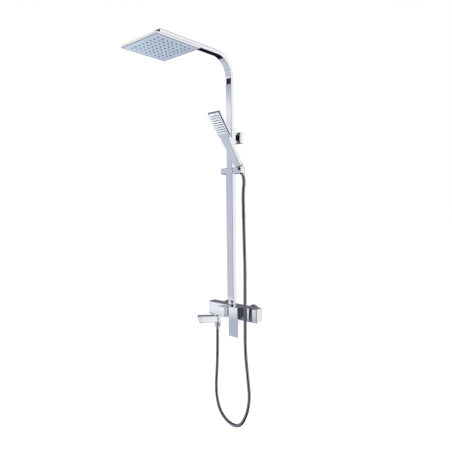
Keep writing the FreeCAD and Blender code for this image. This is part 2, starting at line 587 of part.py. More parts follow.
# ---------------------------------------------------------------- wall bracket
def wall_bracket():
    low, high = "bracket_z - sleeve_half_height", "bracket_z + sleeve_half_height"
    block = box(("-sleeve_half_width", "sleeve_front", low), "2 * sleeve_half_width",
                "sleeve_back - sleeve_front", "%s - (%s)" % (high, low))
    rounded = soften(block, 4, lambda edge: straight_along(edge, "Z"))
    passage = bar("upper_width + 2 * sleeve_gap", "upper_depth + 2 * sleeve_gap", low + " - 1", high + " + 1")
    set_hole = rod(("-sleeve_half_width - 1", "column_y", "bracket_z"), 2.5, 8, "+X")
    node("bracket_sleeve", cut(rounded, passage, set_hole))
    tie = box(("-bar_width / 2", "sleeve_back", "bracket_z - bar_height / 2"), "bar_width",
              "-flange_depth - sleeve_back", "bar_height")
    node("bracket_bar", soften(tie, 1, lambda edge: straight_along(edge, "Y")))
    cover = box(("-flange_side / 2", "-flange_depth", "bracket_z - flange_side / 2"), "flange_side",
                "flange_depth", "flange_side")
    face_y = number("-flange_depth")
    softened = soften(cover, 1.5, lambda edge: straight_along(edge, "Y")
                      or all(abs(corner.Y - face_y) < 0.01 for corner in edge.Vertexes))
    inside = box(("-plate_side / 2 - 0.3", "-flange_depth + 3", "bracket_z - plate_side / 2 - 0.3"),
                 "plate_side + 0.6", "flange_depth", "plate_side + 0.6")
    lock_hole = rod((0, "-plate_thick / 2 - 5", "bracket_z - flange_side / 2 - 1"), 2, 8)
    node("bracket_flange", cut(softened, inside, lock_hole))
    plate = box(("-plate_side / 2", "-plate_thick", "bracket_z - plate_side / 2"), "plate_side",
                "plate_thick", "plate_side")
    screw_holes = [rod(("%g * screw_spacing" % share, "-plate_thick - 1", "bracket_z"), "screw_hole",
                       "plate_thick + 2", "+Y") for share in (-0.5, 0.5)]
    node("bracket_wall_plate", cut(plate, *screw_holes))
    node("bracket_set_screws", group([
        rod(("-sleeve_half_width + 0.4", "column_y", "bracket_z"), 2.5, 4, "+X"),
        rod((0, "-plate_thick / 2 - 5", "bracket_z - flange_side / 2 + 0.4"), 2, 4),
    ]))


# ---------------------------------------------------------------- slider and cradle
def slider():
    low = "slider_z - slider_height / 2"
    block = soften(box(("slider_left", "slider_front", low), "slider_right - slider_left",
                       "slider_back - slider_front", "slider_height"), "edge_round", lambda edge: True)
    lining_width, lining_depth = "lower_width + 0.6 + 2 * liner_wall", "lower_depth + 0.6 + 2 * liner_wall"
    bore = bar(lining_width, lining_depth, low + " - 1", low + " + slider_height + 1")
    stud_hole = rod(("slider_left - 1", "column_y", "slider_z"), 3.05, 9.5, "+X")
    pin_hole = rod(("slider_right - 8", "cradle_y", "slider_z"), "holder_pin_radius", 9, "+X")
    node("slider_body", cut(block, bore, stud_hole, pin_hole))
    lining = bar(lining_width, lining_depth, low + " + 1", low + " + slider_height - 1")
    node("slider_lining", cut(lining, bar("lower_width + 0.6", "lower_depth + 0.6", low, low + " + 30")))
    node("cradle_pin", rod(("slider_right - 8", "cradle_y", "slider_z"), "holder_pin_radius",
                           "pin_reach + 8", "+X"))

    grip = box(("knob_left", "column_y - slider_height / 2", low), "slider_left - 0.5 - knob_left",
               "slider_height", "slider_height")
    node("slider_knob", join(soften(grip, "edge_round", lambda edge: True),
                             rod(("slider_left - 2", "column_y", "slider_z"), 3, 8, "+X")))


LEAN = Rotation(Vector(1, 0, 0), number("lean"))


def leaning(thing):
    """Sets a piece that was drawn upright at the origin onto the hand shower's axis."""
    return put(thing, ("cradle_x", "cradle_y", "cradle_z"), LEAN)


def cradle():
    """A block that turns on the slider's pin, with a tapered sleeve through it for the hose cone."""
    half = "cradle_length / 2"
    sleeve = leaning(soften(rod((0, 0, "-(%s)" % half), "cradle_radius", "cradle_length"), 1,
                            lambda edge: edge.Curve.TypeId == "Part::GeomCircle"))
    block = box(("slider_right + cradle_gap", "cradle_y - cradle_depth / 2", "slider_z - slider_height / 2"),
                "cradle_end - slider_right - cradle_gap", "cradle_depth", "slider_height")
    soft_block = soften(block, "edge_round", lambda edge: True)
    mouth = taper((0, 0, "-(%s) - 8" % half), "cone_bottom - 0.05", "cone_top + 0.75", "cradle_length + 16")
    pin_way = rod(("slider_right", "cradle_y", "slider_z"), "holder_pin_radius + 0.07", "pin_reach + 1", "+X")
    node("handset_cradle", cut(join(sleeve, soft_block), leaning(group([mouth])), pin_way))


def hand_shower():
    front_view = [("-handle_foot_half", "handle_foot"), ("handle_foot_half", "handle_foot"),
                  ("handle_neck_half", "handle_neck"), ("head_half", "head_foot"),
                  ("head_half", "head_crown"), ("-head_half", "head_crown"),
                  ("-head_half", "head_foot"), ("-handle_neck_half", "handle_neck")]
    side_view = [(-9, "handle_foot"), (9, "handle_foot"), (11, "handle_neck - 10"), (9, "head_foot + 12"),
                 (8, "head_crown"), (-3, "head_crown"), (-3, "head_foot"), (-8, "handle_neck - 10")]
    end_view = [("head_half + 1", 20), ("head_half + 1", "head_chamfer - 2"),
                ("head_half - head_chamfer - 8", -11), ("8 + head_chamfer - head_half", -11),
                ("-head_half - 1", "head_chamfer - 2"), ("-head_half - 1", 20)]
    flat = extrusion("XZ", front_view, 60, centred=True)
    thick = extrusion("YZ", side_view, 90, centred=True)
    slanted = extrusion("XY", end_view, 300)
    shape = soften(overlap(overlap(flat, thick), slanted), 1.6, lambda edge: True)

    def face_outline(margin):
        low, high = "head_foot + 1 + " + margin, "head_crown - (%s)" % margin
        half = "head_half - (%s)" % margin
        return [("-(%s)" % half, low), (half, low), (half, high), ("-(%s)" % half, high)]
    tray = extrusion("XZ", face_outline("head_rim"), 3, at=(0, -1, 0))
    nipple = rod((0, 0, "nipple_low"), "nipple_radius", 16)
    node("handset_body", leaning(cut(join(cut(shape, tray), nipple), rod((0, 0, 0), "handle_bore", 150))))

    plate = extrusion("XZ", face_outline("head_rim + face_gap"), 2.4, at=(0, -1, 0))
    strips, slots = [], []
    for index in range(SIZES["strip_count"]):
        low = "head_foot + first_strip + %d * strip_pitch" % index
        left, span = "7 - head_half", "2 * (head_half - 7)"
        strips.append(box((left, -4.6, low), span, 2.6, "strip_height"))
        slots.append(box((left, -5, low), span, 3, "strip_height"))
    node("handset_face", leaning(cut(plate, *slots)))
    node("handset_strips", leaning(group(strips)))

    cone = taper((0, 0, -16), "cone_bottom", "cone_top", "handle_foot + 14")
    node("hose_cone_nut", leaning(cut(cone, rod((0, 0, "nipple_low"), "nipple_radius", 20),
                                      rod((0, 0, -17), "hose_bore", 40))))


# ---------------------------------------------------------------- hose
HOSE_ROUTE = [
    (64.0, -60.2, 593.1), (64.0, -33.0, 557.6), (59.0, -29.0, 503.0), (60.0, -40.0, 427.0),
    (70.0, -56.0, 325.0), (84.0, -72.0, 195.0), (96.0, -88.0, 65.0), (100.0, -93.0, -25.0),
    (98.0, -93.0, -150.0), (108.0, -90.0, -260.0), (114.0, -86.0, -350.0), (98.0, -82.0, -440.0),
    (50.0, -76.0, -507.0), (-25.0, -70.0, -514.0), (-82.0, -65.0, -464.0), (-104.0, -60.0, -380.0),
    (-98.0, -57.0, -285.0), (-92.0, -57.0, -185.0), (-90.0, -58.0, -87.8),
]


def hose_path(points):
    """Straight runs joined by tangent arcs as large as their runs allow."""
    spots = [Vector(*point) for point in points]
    edges, radii, start = [], [], spots[0]
    for before, corner, after in zip(spots, spots[1:], spots[2:]):
        came, going = corner - before, after - corner
        turn = came.getAngle(going)
        radius = 0.45 * min(came.Length, going.Length) / math.tan(turn / 2)
        trim = radius * math.tan(turn / 2)
        inward, outward = Vector(came).normalize(), Vector(going).normalize()
        first, last = corner - inward * trim, corner + outward * trim
        bisector = (outward - inward).normalize()
        middle = corner + bisector * (radius / math.cos(turn / 2) - radius)
        edges += [Part.LineSegment(start, first).toShape(), Part.Arc(first, middle, last).toShape()]
        radii.append(radius)
        start = last
    edges.append(Part.LineSegment(start, spots[-1]).toShape())
    return Part.Wire(edges), radii


def hose():
    path, radii = hose_path(HOSE_ROUTE)
    radius = number("hose_radius")
    direction = Vector(*HOSE_ROUTE[1]) - Vector(*HOSE_ROUTE[0])
    ring = Part.Wire([Part.Circle(Vector(*HOSE_ROUTE[0]), direction, radius).toShape()])
    swept = path.makePipeShell([ring], True, False)
    feature = doc.addObject("Part::Feature", "Hose")
    feature.Shape = swept
    feature.Placement = Placement()
    node("shower_hose", feature)
    print("hose radii", [round(value) for value in radii])
    print("hose length", round(path.Length, 1), "volume ratio",
          round(swept.Volume / (math.pi * radius ** 2 * path.Length), 4))
    nut_top = "spout_top - spout_height - 1"
    nut = hexagon(("spout_x", "spout_y", "%s - hose_nut_length" % nut_top), "hose_nut_flats",
                  "hose_nut_length")
    thread_way = rod(("spout_x", "spout_y", "spout_top - spout_height - 12"), "tail_radius", 30)
    water_way = rod(("spout_x", "spout_y", -200), "hose_bore", 200)
    node("hose_hex_nut", cut(nut, thread_way, water_way))


for build in (mixer_shell, end_caps, mixer_core, wall_unions, cartridge, lever, diverter, spout, column,
              gooseneck, rain_head, wall_bracket, slider, cradle, hand_shower, hose):
    build()
doc.recompute()

problems = [thing.Name for thing in doc.Objects if {"Invalid", "Error"} & set(thing.State)]
for label, thing in nodes.items():
    if thing.Shape.isNull() or not thing.Shape.isValid() or not thing.Shape.Solids:
        problems.append(label)
if problems:
    raise SystemExit("failed objects: " + ", ".join(problems))

os.makedirs("parts", exist_ok=True)
for label, thing in nodes.items():
    thing.Shape.exportStep("parts/%s.step" % label)
whole = Part.makeCompound([thing.Shape for thing in nodes.values()]).BoundBox
print(len(nodes), "sub-parts, box", [round(value, 1) for value in (
    whole.XMin, whole.XMax, whole.YMin, whole.YMax, whole.ZMin, whole.ZMax)])
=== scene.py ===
# %% [markdown]
# # A rainfall shower column, finished in Blender
# The metal parts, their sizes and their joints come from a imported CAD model, which is loaded as a fixed
# frame. What Blender adds is what CAD is poor at: a hose with a wound skin, small moulded pieces, and
# finishes that look like plated brass, satin steel, rubber and plastic. All numbers are metres.

# %% Load the frame
import json
import math

import bmesh
import bpy
from mathutils import Matrix, Vector

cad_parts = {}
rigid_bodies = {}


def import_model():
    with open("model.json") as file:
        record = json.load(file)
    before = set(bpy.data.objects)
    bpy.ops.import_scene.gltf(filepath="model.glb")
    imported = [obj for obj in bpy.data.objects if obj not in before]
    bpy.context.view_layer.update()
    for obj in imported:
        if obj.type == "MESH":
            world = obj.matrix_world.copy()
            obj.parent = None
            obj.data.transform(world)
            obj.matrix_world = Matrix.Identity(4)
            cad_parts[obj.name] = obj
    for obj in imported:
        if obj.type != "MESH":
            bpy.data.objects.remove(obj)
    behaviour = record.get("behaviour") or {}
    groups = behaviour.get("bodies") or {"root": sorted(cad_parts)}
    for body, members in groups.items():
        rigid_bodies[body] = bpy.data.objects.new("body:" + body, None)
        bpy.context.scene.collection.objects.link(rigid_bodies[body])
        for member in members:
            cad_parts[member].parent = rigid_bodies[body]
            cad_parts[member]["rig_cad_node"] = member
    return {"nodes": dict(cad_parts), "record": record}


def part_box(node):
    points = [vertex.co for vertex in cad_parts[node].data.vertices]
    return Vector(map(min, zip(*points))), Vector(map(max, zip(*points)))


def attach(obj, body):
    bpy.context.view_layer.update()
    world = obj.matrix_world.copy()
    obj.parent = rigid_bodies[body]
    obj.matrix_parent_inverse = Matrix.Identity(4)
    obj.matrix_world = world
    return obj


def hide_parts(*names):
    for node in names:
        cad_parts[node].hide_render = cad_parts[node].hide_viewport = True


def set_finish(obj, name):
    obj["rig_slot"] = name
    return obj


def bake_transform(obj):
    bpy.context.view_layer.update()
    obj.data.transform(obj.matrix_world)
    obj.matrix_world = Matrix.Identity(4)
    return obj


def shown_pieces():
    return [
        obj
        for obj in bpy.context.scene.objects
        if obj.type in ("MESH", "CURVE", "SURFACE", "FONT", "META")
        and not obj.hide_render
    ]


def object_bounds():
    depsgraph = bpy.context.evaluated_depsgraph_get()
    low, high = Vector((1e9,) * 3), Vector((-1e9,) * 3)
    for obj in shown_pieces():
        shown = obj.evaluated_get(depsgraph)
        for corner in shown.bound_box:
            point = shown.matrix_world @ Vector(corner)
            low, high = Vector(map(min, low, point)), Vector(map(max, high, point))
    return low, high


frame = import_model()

cad_low, cad_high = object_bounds()
MM = 0.001
print("CAD box:", [round(v, 3) for v in (*cad_low, *cad_high)])

# %% [markdown]
# ## The camera
# The column is seen from well to the right of its front, and from 45 cm above the middle of the mixer. A
# camera's matrix holds its right, up and backward directions as columns, so the three are worked out from
# the turn, the small downward pitch and a slight roll, and set at once.

# %% Place the camera
CAMERA_PLACE = Vector((1.22824, -1.46139, 0.45317))
CAMERA_TURN = math.radians(41.92)
CAMERA_PITCH = math.radians(2.64)
CAMERA_ROLL = math.radians(-0.71)
CAMERA_LENS = 34.54

forward = Vector((-math.sin(CAMERA_TURN) * math.cos(CAMERA_PITCH),
                  math.cos(CAMERA_TURN) * math.cos(CAMERA_PITCH), -math.sin(CAMERA_PITCH)))
level_right = Vector((math.cos(CAMERA_TURN), math.sin(CAMERA_TURN), 0))
level_up = level_right.cross(forward)
right = level_right * math.cos(CAMERA_ROLL) + level_up * math.sin(CAMERA_ROLL)
up = level_up * math.cos(CAMERA_ROLL) - level_right * math.sin(CAMERA_ROLL)

camera_data = bpy.data.cameras.new("camera")
camera_data.lens = CAMERA_LENS
camera_data.sensor_width = 36
camera = bpy.data.objects.new("camera", camera_data)
bpy.context.scene.collection.objects.link(camera)
turn = Matrix((right, up, -forward)).transposed()
camera.matrix_world = Matrix.Translation(CAMERA_PLACE) @ turn.to_4x4()
bpy.context.scene.camera = camera
print("camera looks along", [round(v, 3) for v in forward])

# %% [markdown]
# ## The hose's route
# A metal shower hose is stiff enough to keep wide curves and heavy enough to hang in a deep loop. Its route
# is a short list of points, and a NURBS curve of order 3 turns them into one smooth line: out of
# the cone nut along its axis, down beside the column, round the loop and up into the nut under the spout.
# Order and end point are set after the points, because Blender lowers the order of a spline that is short
# of points.

# %% Draw the route as one smooth curve
HOSE_POINTS_MM = [
    (64.0, -60.2, 593.1), (61.0, -40.0, 566.5), (54.0, -43.0, 511.0), (67.0, -57.0, 430.0),
    (85.0, -77.0, 327.0), (101.0, -92.0, 198.0), (104.0, -98.0, 67.0), (102.0, -96.0, -25.0),
    (98.0, -93.0, -150.0), (108.0, -90.0, -260.0), (115.0, -86.0, -350.0), (91.0, -82.0, -434.0),
    (46.0, -76.0, -497.0), (-22.0, -70.0, -501.0), (-80.0, -65.0, -462.0), (-104.0, -60.0, -380.0),
    (-98.0, -57.0, -285.0), (-92.0, -57.0, -185.0), (-90.0, -58.0, -87.8),
]
HOSE_RADIUS = 7 * MM


def smooth_line(points, resolution):
    """The places along a NURBS spline through a route's corners."""
    curve = bpy.data.curves.new("route", "CURVE")
    curve.dimensions = "3D"
    curve.resolution_u = resolution
    spline = curve.splines.new("NURBS")
    spline.points.add(len(points) - 1)
    for spot, place in zip(spline.points, points):
        spot.co = (*place, 1)
    spline.order_u = 3
    spline.use_endpoint_u = True
    holder = bpy.data.objects.new("route", curve)
    bpy.context.scene.collection.objects.link(holder)
    bpy.context.view_layer.update()
    mesh = bpy.data.meshes.new_from_object(holder)
    line = [vertex.co.copy() for vertex in mesh.vertices]
    bpy.data.objects.remove(holder)
    bpy.data.curves.remove(curve)
    bpy.data.meshes.remove(mesh)
    return line


def spaced(line, step):
    """The same line with its points a fixed step apart."""
    spots, left = [line[0]], step
    for start, end in zip(line, line[1:]):
        run = (end - start).length
        gone = 0
        while run - gone >= left:
            gone += left
            spots.append(start.lerp(end, gone / run))
            left = step
        left -= run - gone
    spots.append(line[-1])
    return spots


HOSE_PITCH = 4.0 * MM
RINGS_PER_TURN = 5
hose_step = HOSE_PITCH / RINGS_PER_TURN
hose_line = spaced(smooth_line([Vector(p) * MM for p in HOSE_POINTS_MM], 60), hose_step)
hose_length = sum((b - a).length for a, b in zip(hose_line, hose_line[1:]))
print("hose length", round(hose_length, 3), "in", len(hose_line), "rings")

# %% [markdown]
# ## The hose's skin
# A real hose is a steel strip wound in a spiral whose edges lock into each other. Each turn shows as a
# smooth band and a narrow groove that climbs round the hose. The tube is made ring by ring along the line:
# each ring is carried on from the last without twisting, and each point sinks where the groove passes. How
# deep a point lies is also stored as an attribute, so that the finish can paint shade into the grooves.

# %% Wind the spiral tube
HOSE_SIDES = 20
GROOVE_DEPTH = 0.6 * MM
GROOVE_SHARE = 0.34


def groove_at(turns):
    """1 in the middle of the groove and 0 on the band, for a place along the winding."""
    away = abs((turns % 1) - 0.5) * 2
    return max(0.0, 1 - away / GROOVE_SHARE)


def spiral_tube(name, line, first_ring):
    """A closed tube along part of the line; first_ring keeps the winding in step from piece to piece."""
    mesh = bmesh.new()
    layer = mesh.verts.layers.float.new("groove")
    tangent = (line[1] - line[0]).normalized()
    side = tangent.orthogonal().normalized()
    rings = []
    for index, centre in enumerate(line):
        ahead = line[min(index + 1, len(line) - 1)]
        behind = line[max(index - 1, 0)]
        new_tangent = (ahead - behind).normalized()
        side = tangent.rotation_difference(new_tangent) @ side
        side = (side - new_tangent * side.dot(new_tangent)).normalized()
        tangent = new_tangent
        other = tangent.cross(side)
        ring = []
        for step in range(HOSE_SIDES):
            share = step / HOSE_SIDES
            depth = groove_at((first_ring + index) / RINGS_PER_TURN + share)
            radius = HOSE_RADIUS - GROOVE_DEPTH * depth
            angle = 2 * math.pi * share
            vertex = mesh.verts.new(centre + (side * math.cos(angle) + other * math.sin(angle)) * radius)
            vertex[layer] = depth
            ring.append(vertex)
        rings.append(ring)
    for low, high in zip(rings, rings[1:]):
        for step in range(HOSE_SIDES):
            after = (step + 1) % HOSE_SIDES
            mesh.faces.new((low[step], low[after], high[after], high[step])).smooth = True
    mesh.faces.new(list(reversed(rings[0])))
    mesh.faces.new(rings[-1])
    data = bpy.data.meshes.new(name)
    mesh.to_mesh(data)
    mesh.free()
    piece = bpy.data.objects.new(name, data)
    bpy.context.scene.collection.objects.link(piece)
    return piece


# %% [markdown]
# ## Four lengths of one hose
# The hose hangs from pieces that move: the slider travels, the cradle tilts in it, and the hand shower is
# drawn out of the cradle. A mesh can bend between two bodies only, so the hose is cut into four lengths that
# meet face to face, each lying across one joint. The winding runs through the cuts without a break. The
# last length, on the side of the spout, never moves.

# %% Cut the hose into its four lengths
LENGTH_AT_HANDSET = 0.086
LENGTH_AT_CRADLE = 0.086

lowest = min(range(len(hose_line)), key=lambda index: hose_line[index].z)
cut_one = round(LENGTH_AT_HANDSET / hose_step)
cut_two = cut_one + round(LENGTH_AT_CRADLE / hose_step)
HOSE_CUTS = [
    ("hose_at_handset", 0, cut_one, ("cradle", "hand_shower")),
    ("hose_at_cradle", cut_one, cut_two, ("slider", "cradle")),
    ("hose_falling", cut_two, lowest, ("root", "slider")),
    ("hose_rising", lowest, len(hose_line) - 1, None),
]
hose_pieces, hose_paths = {}, {}
for name, first, last, bodies in HOSE_CUTS:
    path = hose_line[first:last + 1]
    piece = spiral_tube(name, path, first)
    if bodies is None:
        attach(piece, "root")
    else:
        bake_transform(piece)
    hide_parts("shower_hose")
    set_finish(piece, "hose_chrome")
    hose_pieces[name] = piece
    hose_paths[name] = path
    print(name, len(piece.data.polygons), "faces")

# %% [markdown]
# ## Tools for turned and cut pieces
# Most fittings are turned on a lathe. Spin does the same: half of the outline is drawn beside the axis and
# swept round it, then the doubled points where the sweep closes are merged and the faces are made to point
# outwards. An operator acts on all that is selected, so everything is deselected first. Pieces are made
# upright at the origin and carried to their place inside their mesh, which leaves the object itself unmoved.

# %% Lathe and finishing helpers
def only(piece):
    """Makes a piece the one that operators act on."""
    bpy.ops.object.select_all(action="DESELECT")
    piece.select_set(True)
    bpy.context.view_layer.objects.active = piece


def lathe(name, outline, steps=32):
    """A solid of revolution round Z from (radius, height) corners that start and end on the axis or meet."""
    data = bpy.data.meshes.new(name)
    edges = [(index, index + 1) for index in range(len(outline) - 1)]
    data.from_pydata([(radius, 0, height) for radius, height in outline], edges, [])
    piece = bpy.data.objects.new(name, data)
    bpy.context.scene.collection.objects.link(piece)
    only(piece)
    bpy.ops.object.mode_set(mode="EDIT")
    bpy.ops.mesh.select_all(action="SELECT")
    bpy.ops.mesh.spin(steps=steps, angle=2 * math.pi, center=(0, 0, 0), axis=(0, 0, 1))
    bpy.ops.mesh.select_all(action="SELECT")
    bpy.ops.mesh.remove_doubles(threshold=1e-6)
    bpy.ops.mesh.normals_make_consistent(inside=False)
    bpy.ops.object.mode_set(mode="OBJECT")
    return piece


def finish_with(piece, kind, **settings):
    """Adds a modifier, sets it and applies it."""
    only(piece)
    modifier = piece.modifiers.new(kind.lower(), kind)
    for field, value in settings.items():
        setattr(modifier, field, value)
    bpy.ops.object.modifier_apply(modifier=modifier.name)


def soft_edges(piece, width, segments=2, angle=30):
    """Small rounded edges, then smooth shading that keeps the larger corners crisp."""
    finish_with(piece, "BEVEL", width=width, segments=segments, limit_method="ANGLE",
                angle_limit=math.radians(angle), harden_normals=False)
    only(piece)
    bpy.ops.object.shade_smooth_by_angle(angle=math.radians(40))


def carry(piece, place):
    """Moves the mesh, not the object, so that the piece keeps an unmoved origin."""
    piece.data.transform(place)
    piece.data.update()


# %% [markdown]
# ## The swivel nut under the spout
# The lower end of the hose has a hexagon nut. A bought nut has its corners turned off at both ends at a
# slant, which catches the light as six small curves. The simplest way to get them is the real one: a
# hexagon and a turned barrel with slanted ends, and only what lies in both is kept.

# %% Cut the hexagon nut
nut_low, nut_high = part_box("hose_hex_nut")
nut_centre = (nut_low + nut_high) / 2
nut_length = nut_high.z - nut_low.z
NUT_FLATS = 24 * MM
nut_corner = NUT_FLATS / math.sqrt(3)
NUT_BORE = 7.15 * MM
CHAMFER = 1.6 * MM
CHAMFER_SLANT = 1.7
NUT_EDGE = 0.25 * MM
half = nut_length / 2
chamfer_foot = nut_corner - CHAMFER * CHAMFER_SLANT
barrel = lathe("nut_barrel", [
    (NUT_BORE, -half), (chamfer_foot, -half), (nut_corner, -half + CHAMFER),
    (nut_corner, half - CHAMFER), (chamfer_foot, half), (NUT_BORE, half), (NUT_BORE, -half),
], steps=72)
bpy.ops.object.select_all(action="DESELECT")
bpy.ops.mesh.primitive_cylinder_add(vertices=6, radius=nut_corner, depth=nut_length * 1.2,
                                    rotation=(0, 0, math.radians(30)))
swivel_nut = bpy.context.active_object
swivel_nut.name = "hose_swivel_nut"
bpy.ops.object.transform_apply(location=True, rotation=True, scale=True)
finish_with(swivel_nut, "BOOLEAN", operation="INTERSECT", object=barrel, solver="EXACT")
bpy.data.objects.remove(barrel)
soft_edges(swivel_nut, NUT_EDGE, segments=2, angle=25)
carry(swivel_nut, Matrix.Translation(nut_centre))
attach(swivel_nut, "root")
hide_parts("hose_hex_nut")
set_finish(swivel_nut, "polished_chrome")
print("swivel nut", round(nut_length / MM, 1), "mm long,", len(swivel_nut.data.polygons), "faces")

# %% [markdown]
# ## Crimped sleeves at the hose's ends
# Where the strip winding ends, a short brass sleeve is squeezed round it, with two rings where the tool
# gripped. Both sleeves are the same turned piece, made twice, one in line with the hose's last stretch and
# one in line with the cone nut.

# %% Turn the two sleeves
SLEEVE_LENGTH = 13 * MM
SLEEVE_RADIUS = 8.4 * MM
SLEEVE_BORE = 7.05 * MM
SLEEVE_LIP = 7.3 * MM
SLEEVE_EDGE = 0.2 * MM
CRIMP_DEPTH = 0.7 * MM
sleeve_outline = [
    (SLEEVE_BORE, 0), (SLEEVE_RADIUS, 0), (SLEEVE_RADIUS, 0.2 * SLEEVE_LENGTH),
    (SLEEVE_RADIUS - CRIMP_DEPTH, 0.27 * SLEEVE_LENGTH), (SLEEVE_RADIUS, 0.34 * SLEEVE_LENGTH),
    (SLEEVE_RADIUS, 0.5 * SLEEVE_LENGTH), (SLEEVE_RADIUS - CRIMP_DEPTH, 0.57 * SLEEVE_LENGTH),
    (SLEEVE_RADIUS, 0.64 * SLEEVE_LENGTH), (SLEEVE_RADIUS, 0.82 * SLEEVE_LENGTH),
    (SLEEVE_LIP, SLEEVE_LENGTH), (SLEEVE_BORE, SLEEVE_LENGTH), (SLEEVE_BORE, 0),
]


def sleeve(name, line, body):
    """A crimped sleeve that starts at the line's first point and runs along it."""
    piece = lathe(name, sleeve_outline, steps=40)
    soft_edges(piece, SLEEVE_EDGE, segments=2, angle=20)
    direction = (line[round(SLEEVE_LENGTH / hose_step)] - line[0]).normalized()
    turned = Vector((0, 0, 1)).rotation_difference(direction).to_matrix().to_4x4()
    carry(piece, Matrix.Translation(line[0]) @ turned)
    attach(piece, body)
    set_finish(piece, "polished_chrome")
    return piece


upper_sleeve = sleeve("hose_sleeve_upper", hose_line, "hand_shower")
lower_sleeve = sleeve("hose_sleeve_lower", hose_line[::-1], "root")
print("sleeves", round(SLEEVE_LENGTH / MM, 1), "mm long")

# %% [markdown]
# ## What the hose is made of, in numbers
# The length of the falling stretch, from the second cut down to the loop's lowest point, is printed.

print("falling", round((lowest - cut_two) * hose_step, 3), "m")

# %% [markdown]
# ## The rain head's nozzles
# Each of the 64 nozzles is a soft silicone nipple pushed through the spray plate, so that limescale can be
# rubbed off. It has a thin collar where it meets the plate, a tapered body, a rounded tip and a hole. One is
# turned, and the rest are copies of it, joined into one piece because they are moulded as one mat.

# %% Mould the nozzle mat
face_low, face_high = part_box("rain_head_face")
head_centre = (face_low + face_high) / 2
NOZZLE_PITCH = 20.4 * MM
NOZZLES_ACROSS = 8
nozzle_outline = [
    (0, 1.9 * MM), (2.35 * MM, 1.9 * MM), (2.35 * MM, -0.15 * MM), (2.7 * MM, -0.2 * MM),
    (2.7 * MM, -0.5 * MM), (2.3 * MM, -0.65 * MM), (1.95 * MM, -1.6 * MM), (1.55 * MM, -1.95 * MM),
    (0.8 * MM, -1.95 * MM), (0.65 * MM, -1.7 * MM), (0.6 * MM, -0.2 * MM), (0, -0.2 * MM),
]
first_nozzle = lathe("nozzle", nozzle_outline, steps=14)
only(first_nozzle)
bpy.ops.object.shade_smooth_by_angle(angle=math.radians(50))
middle = (NOZZLES_ACROSS - 1) / 2
nozzles = []
for across in range(NOZZLES_ACROSS):
    for along in range(NOZZLES_ACROSS):
        copy = first_nozzle.copy()
        copy.data = first_nozzle.data.copy()
        bpy.context.scene.collection.objects.link(copy)
        place = Vector((head_centre.x + (across - middle) * NOZZLE_PITCH,
                        head_centre.y + (along - middle) * NOZZLE_PITCH, face_low.z))
        carry(copy, Matrix.Translation(place))
        nozzles.append(copy)
bpy.data.objects.remove(first_nozzle)
only(nozzles[0])
for copy in nozzles:
    copy.select_set(True)
bpy.ops.object.join()
nozzle_mat = bpy.context.active_object
nozzle_mat.name = "rain_nozzle_mat"
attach(nozzle_mat, "rain_head")
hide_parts("rain_nozzles")
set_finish(nozzle_mat, "nozzle_rubber")
print("nozzle mat", len(nozzle_mat.data.polygons), "faces")

# %% [markdown]
# ## The hand shower's spray plate and wave-shaped ribs
# The hand shower leans out of its cradle, so its face is drawn upright at the origin and then turned and
# moved with one matrix. The plate is a thin slab with an inset and a step, so that it has a raised border.
# The spray comes through eight soft ribs that run across it in shallow waves. A rib is a strip of many
# segments whose points are moved up and down along a sine.

# %% The hand shower's own axis
LEAN = math.radians(37.5)
HANDSET_FOOT = Vector((64 * MM, -70 * MM, 606 * MM))
handset_place = Matrix.Translation(HANDSET_FOOT) @ Matrix.Rotation(LEAN, 4, "X")
FACE_LOW, FACE_HIGH = 170.9 * MM, 258.1 * MM
FACE_HALF = 27.1 * MM
FACE_FRONT, FACE_BACK = -3.4 * MM, -1.0 * MM
print("hand shower leans", round(math.degrees(LEAN), 1), "degrees")

# %% [markdown]
# ### The spray plate
# The border is made by two insets: the first sets its width, and the second, which is narrow, steps down.

# %% Model the spray plate
BORDER_WIDTH = 2.2 * MM
BORDER_STEP = 0.5 * MM
PLATE_EDGE = 0.35 * MM
bpy.ops.object.select_all(action="DESELECT")
bpy.ops.mesh.primitive_cube_add(size=1)
spray_plate = bpy.context.active_object
spray_plate.name = "handset_spray_plate"
spray_plate.scale = (2 * FACE_HALF, FACE_BACK - FACE_FRONT, FACE_HIGH - FACE_LOW)
spray_plate.location = (0, (FACE_FRONT + FACE_BACK) / 2, (FACE_LOW + FACE_HIGH) / 2)
bpy.ops.object.transform_apply(location=True, rotation=True, scale=True)
bpy.ops.object.mode_set(mode="EDIT")
form = bmesh.from_edit_mesh(spray_plate.data)
for face in form.faces:
    face.select = face.normal.y < -0.9
bmesh.update_edit_mesh(spray_plate.data)
bpy.ops.mesh.inset(thickness=BORDER_WIDTH, depth=0)
bpy.ops.mesh.inset(thickness=BORDER_STEP, depth=-BORDER_STEP)
bpy.ops.object.mode_set(mode="OBJECT")
soft_edges(spray_plate, PLATE_EDGE, segments=2)
carry(spray_plate, handset_place)
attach(spray_plate, "hand_shower")
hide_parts("handset_face")
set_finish(spray_plate, "handset_white")
print("spray plate", len(spray_plate.data.polygons), "faces")

# %% [markdown]
# ### The ribs
# A flat grid is pushed out into a bar first, and only then bent into its wave, so that its thickness stays
# even. The bevel comes last and rounds its corners.

